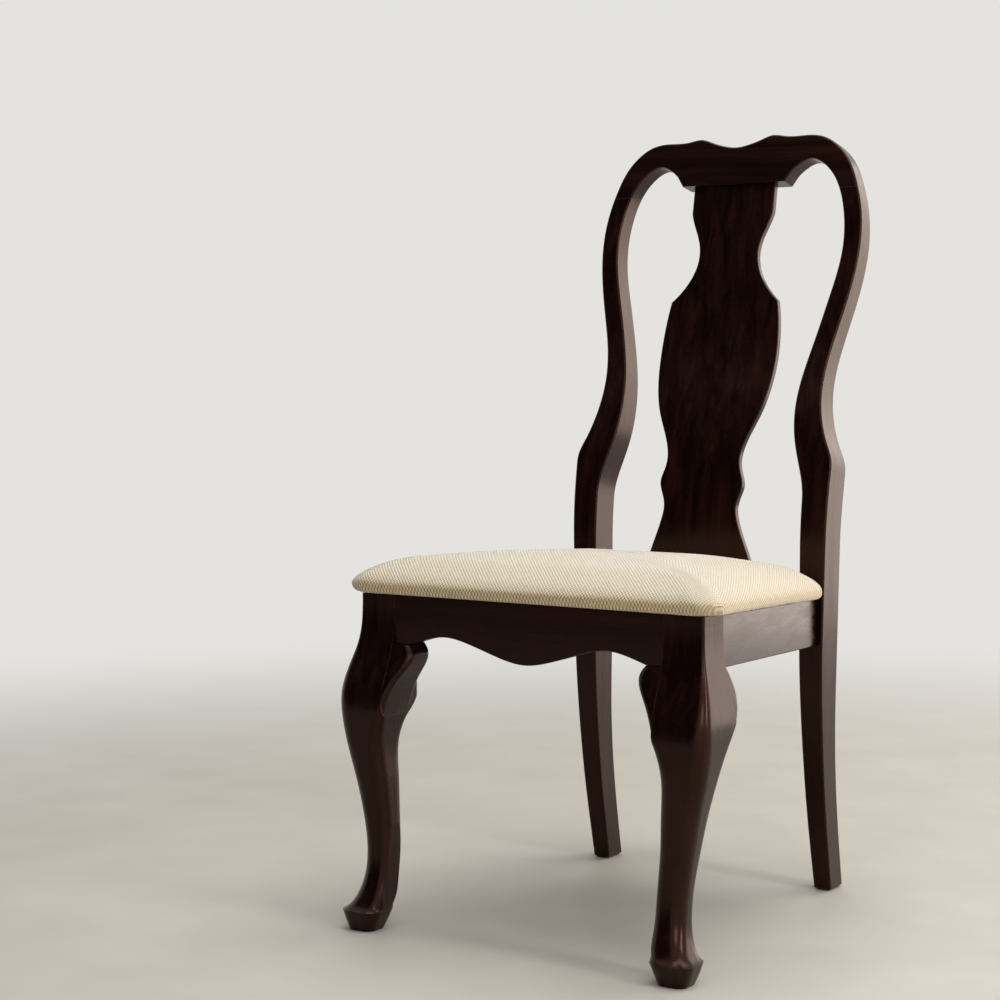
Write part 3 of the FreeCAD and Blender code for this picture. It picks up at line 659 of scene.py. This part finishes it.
@dataclass
class Underside:
    """Board of the seat, and the thin cloth stapled under it, slack between its staples."""

    plane: SeatPlane
    columns: int = 30
    rows: int = 24
    notch_rows: int = 3
    sag_mm: float = 2.5
    pucker_mm: float = 0.8
    pucker_length_mm: float = 60.0
    lie_mm: float = -0.15
    thick_mm: float = 0.35
    # Sanded ply: a pale striped edge, dull as the bare blocks.
    ply: Plywood = Plywood("sanded_plywood", "#a07c4e", "#c9a878")
    # Spun lining: a flat black that swallows the light under the seat and shows only its nap.
    lining: SpunCloth = SpunCloth("black_spun_cloth", "#080808", "#1d1d1e")

    def __post_init__(self) -> None:
        """Take the cut of the cloth from the CAD solid's corners."""
        corners = [vertex.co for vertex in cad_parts["dust_cover"].data.vertices]
        self.front: float = min(corner.y for corner in corners)
        self.rear: float = max(corner.y for corner in corners)
        self.wide: float = max(corner.x for corner in corners)
        self.notch: float = min(corner.y for corner in corners if corner.x > self.wide - MM)
        self.narrow: float = max(corner.x for corner in corners if corner.y > self.rear - MM)
        self.tongue: float = max(corner.x for corner in corners if corner.y < self.front + MM)

    def place(self, across: float, row: float) -> Vector:
        """Find where a point of the cloth hangs.

        Args:
            across: from -1 to 1, from the left edge to the right one.
            row: number of rows from the front edge.

        Returns:
            The point.
        """
        if row <= self.notch_rows:
            y = self.front + (self.notch - self.front) * row / self.notch_rows
            half = self.wide
        else:
            share = (row - self.notch_rows) / (self.rows - self.notch_rows)
            y = self.notch + (self.rear - self.notch) * share
            half = self.wide + (self.narrow - self.wide) * share
        x = across * half
        slack = (1 - across ** 2) * (1 - (2 * row / self.rows - 1) ** 2)
        pucker = noise.noise(Vector((x, y, 0)) / (self.pucker_length_mm * MM))
        height = self.lie_mm - slack * (self.sag_mm + self.pucker_mm * pucker)
        return Vector((x, y, self.plane.level(y, height * MM)))

    def dust_cover(self) -> bpy.types.Object:
        """Make the cloth from a grid, with its front corners cut out round the legs.

        Returns:
            The cloth.
        """
        bpy.ops.object.select_all(action="DESELECT")
        bpy.ops.mesh.primitive_grid_add(x_subdivisions=self.columns, y_subdivisions=self.rows, size=2.0)
        cloth = bpy.context.active_object
        cloth.name = cloth.data.name = "dust_cloth_sheet"
        for vertex in cloth.data.vertices:
            vertex.co = self.place(vertex.co.x, (vertex.co.y + 1) / 2 * self.rows)
        bpy.ops.object.mode_set(mode="EDIT")
        bpy.ops.mesh.select_mode(type="FACE")
        bpy.ops.mesh.select_all(action="DESELECT")
        bpy.ops.object.mode_set(mode="OBJECT")
        for face in cloth.data.polygons:
            face.select = face.center.y < self.notch and abs(face.center.x) > self.tongue
        bpy.ops.object.mode_set(mode="EDIT")
        bpy.ops.mesh.delete(type="FACE")
        bpy.ops.object.mode_set(mode="OBJECT")
        soft = cloth.modifiers.new("soft", "SUBSURF")
        soft.levels = soft.render_levels = 1
        wall = cloth.modifiers.new("wall", "SOLIDIFY")
        wall.thickness = self.thick_mm * MM
        for modifier in (soft.name, wall.name):
            bpy.ops.object.modifier_apply(modifier=modifier)
        bpy.ops.object.shade_smooth()
        return cloth

    def build(self) -> None:
        """Dress the board and hang the dust cover under it."""
        dress("seat_board", self.ply.material())
        cloth = self.dust_cover()
        cloth.data.materials.append(self.lining.material())
        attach(cloth, "root")
        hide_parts("dust_cover")
        LOG.info("%s made", cloth.name)


@dataclass
class Studio:
    """Pale seamless floor, a tall window, a ceiling light, a dark card and the camera."""

    camera_place: tuple[float, float, float] = (1.3824, -2.3920, 0.7023)
    yaw_degrees: float = 33.67
    pitch_degrees: float = -3.41
    lens_mm: float = 75.88
    sensor_mm: float = 36.0
    floor_size: float = 40.0
    floor_tones: tuple[str, str] = ("#cbc5b9", "#d2cdc2")
    floor_roughness: float = 0.6
    mottles_per_metre: float = 6.0
    # The floor is all surround where the window's foot meets it, so that no edge of light shows.
    floor_fade: tuple[float, float] = (0.9, 2.9)
    surround: str = "#e4e3df"
    sky: str = "#e6e8ec"
    sky_strength: float = 0.3
    felt_tones: tuple[str, str] = ("#0c0c0c", "#161616")
    felt_roughness: float = 0.95
    nap_per_metre: float = 30.0

    def seen(self, tree: bpy.types.NodeTree) -> bpy.types.NodeSocket:
        """Tell rays that show the surround from rays that only light the chair.

        Args:
            tree: node tree of the floor or the world.

        Returns:
            1 for camera rays, mirrored rays and rays through glass, else 0.
        """
        ray = add_node(tree, "ShaderNodeLightPath", {})
        mirrored = add_node(tree, "ShaderNodeMath", {
            0: ray.outputs["Is Camera Ray"], 1: ray.outputs["Is Glossy Ray"]}, operation="MAXIMUM")
        through = add_node(tree, "ShaderNodeMath", {
            0: mirrored.outputs[0], 1: ray.outputs["Is Transmission Ray"]}, operation="MAXIMUM")
        return through.outputs[0]

    def floor(self) -> None:
        """Lay a plain pale floor that fades into the surround at a distance."""
        bpy.ops.object.select_all(action="DESELECT")
        bpy.ops.mesh.primitive_plane_add(size=self.floor_size, location=(0, 0, 0))
        floor = bpy.context.active_object
        floor.name = "floor"
        material, tree, surface = new_material("pale_floor")
        place = add_node(tree, "ShaderNodeTexCoord", {}).outputs["Object"]
        mottle = add_node(tree, "ShaderNodeTexNoise", {
            "Vector": place, "Scale": self.mottles_per_metre, "Detail": 3.0})
        ramp = add_node(tree, "ShaderNodeValToRGB", {"Fac": mottle.outputs["Fac"]})
        tree.links.new(shade(ramp, tuple(zip((0.3, 0.7), self.floor_tones))), surface.inputs["Base Color"])
        surface.inputs["Roughness"].default_value = self.floor_roughness
        reach = add_node(tree, "ShaderNodeVectorMath", {0: place}, operation="LENGTH").outputs["Value"]
        far = add_node(tree, "ShaderNodeMapRange", {
            "Value": reach, "From Min": self.floor_fade[0], "From Max": self.floor_fade[1]},
            interpolation_type="SMOOTHSTEP").outputs["Result"]
        share = add_node(tree, "ShaderNodeMath", {
            0: far, 1: self.seen(tree)}, operation="MULTIPLY").outputs[0]
        surround = add_node(tree, "ShaderNodeEmission", {"Color": linear(self.surround)}).outputs["Emission"]
        both = add_node(tree, "ShaderNodeMixShader", {0: share, 1: surface.outputs["BSDF"], 2: surround})
        output = next(node for node in tree.nodes if node.type == "OUTPUT_MATERIAL")
        tree.links.new(both.outputs["Shader"], output.inputs["Surface"])
        floor.data.materials.append(material)

    def lamp(self, name: str, place: tuple[float, float, float], aim: tuple[float, float, float],
             size: tuple[float, float], watts: float, colour: str = "#ffffff") -> None:
        """Hang a soft rectangular lamp.

        Args:
            name: name of the lamp.
            place: where it hangs.
            aim: point that it faces.
            size: width and height.
            watts: power.
            colour: colour of its light.
        """
        data = bpy.data.lights.new(name, "AREA")
        data.shape = "RECTANGLE"
        data.size, data.size_y = size
        data.energy = watts
        data.color = linear(colour)[:3]
        lamp = bpy.data.objects.new(name, data)
        lamp.location = place
        lamp.rotation_euler = (Vector(aim) - Vector(place)).to_track_quat("-Z", "Y").to_euler()
        lamp.visible_camera = False
        bpy.context.scene.collection.objects.link(lamp)

    def dark_card(self, place: tuple[float, float, float], turn_degrees: float,
                  size: tuple[float, float]) -> None:
        """Stand a dark card out of sight, whose mirror image keeps the front faces black.

        Args:
            place: middle of the card.
            turn_degrees: turn about the upright.
            size: width and height.
        """
        bpy.ops.object.select_all(action="DESELECT")
        turned = (math.radians(90), 0, math.radians(turn_degrees))
        bpy.ops.mesh.primitive_plane_add(size=1.0, location=place, rotation=turned)
        card = bpy.context.active_object
        card.name = "dark_card"
        card.scale = (*size, 1.0)
        bpy.ops.object.transform_apply(location=True, rotation=True, scale=True)
        card.visible_camera = False
        material, tree, surface = new_material("dark_felt")
        spot = add_node(tree, "ShaderNodeTexCoord", {}).outputs["Object"]
        nap = add_node(tree, "ShaderNodeTexNoise", {"Vector": spot, "Scale": self.nap_per_metre})
        ramp = add_node(tree, "ShaderNodeValToRGB", {"Fac": nap.outputs["Fac"]})
        tree.links.new(shade(ramp, tuple(zip((0.3, 0.7), self.felt_tones))), surface.inputs["Base Color"])
        surface.inputs["Roughness"].default_value = self.felt_roughness
        card.data.materials.append(material)

    def backdrop(self) -> None:
        """Set a pale surround that the camera and reflections see, and a softer one that lights."""
        world = bpy.data.worlds.new("studio")
        world.use_nodes = True
        tree = world.node_tree
        tree.nodes.clear()
        soft = add_node(tree, "ShaderNodeBackground", {
            "Color": linear(self.sky), "Strength": self.sky_strength})
        shown = add_node(tree, "ShaderNodeBackground", {"Color": linear(self.surround), "Strength": 1.0})
        both = add_node(tree, "ShaderNodeMixShader", {
            0: self.seen(tree), 1: soft.outputs["Background"], 2: shown.outputs["Background"]})
        add_node(tree, "ShaderNodeOutputWorld", {"Surface": both.outputs["Shader"]})
        bpy.context.scene.world = world

    def camera(self) -> None:
        """Stand the camera where the photograph was taken from."""
        data = bpy.data.cameras.new("camera")
        data.sensor_fit = "HORIZONTAL"
        data.sensor_width = self.sensor_mm
        data.lens = self.lens_mm
        camera = bpy.data.objects.new("camera", data)
        camera.location = self.camera_place
        camera.rotation_euler = (math.radians(90 + self.pitch_degrees), 0, math.radians(self.yaw_degrees))
        bpy.context.scene.collection.objects.link(camera)
        bpy.context.scene.camera = camera

    def build(self) -> None:
        """Set up the whole studio."""
        self.floor()
        self.backdrop()
        self.dark_card((-1.6, -2.7, 1.6), -31.0, (3.6, 3.2))
        self.lamp("window", (1.45, 2.65, 0.9), (0, 0, 0.9), (2.9, 2.5), 52.0, "#fff0e2")
        self.lamp("strip", (2.5, -0.3, 1.3), (0, 0, 0.5), (0.4, 1.3), 19.0)
        self.lamp("ceiling", (0.3, 0.1, 3.0), (0, 0, 0.4), (2.4, 2.4), 58.0)
        self.lamp("fill", (2.4, -2.6, 1.8), (0, 0, 0.5), (1.2, 1.2), 20.0)
        self.camera()
        bpy.context.scene.view_settings.view_transform = "Standard"


def main() -> None:
    """Dress the chair, piece by piece, and set it in its studio."""
    logging.basicConfig(level=logging.INFO, format="%(name)s: %(message)s")
    LacqueredFrame().build()
    Joinery().build()
    plane = SeatPlane()
    Cushion(plane).build()
    Underside(plane).build()
    Studio().build()


if __name__ == "__main__":
    main()
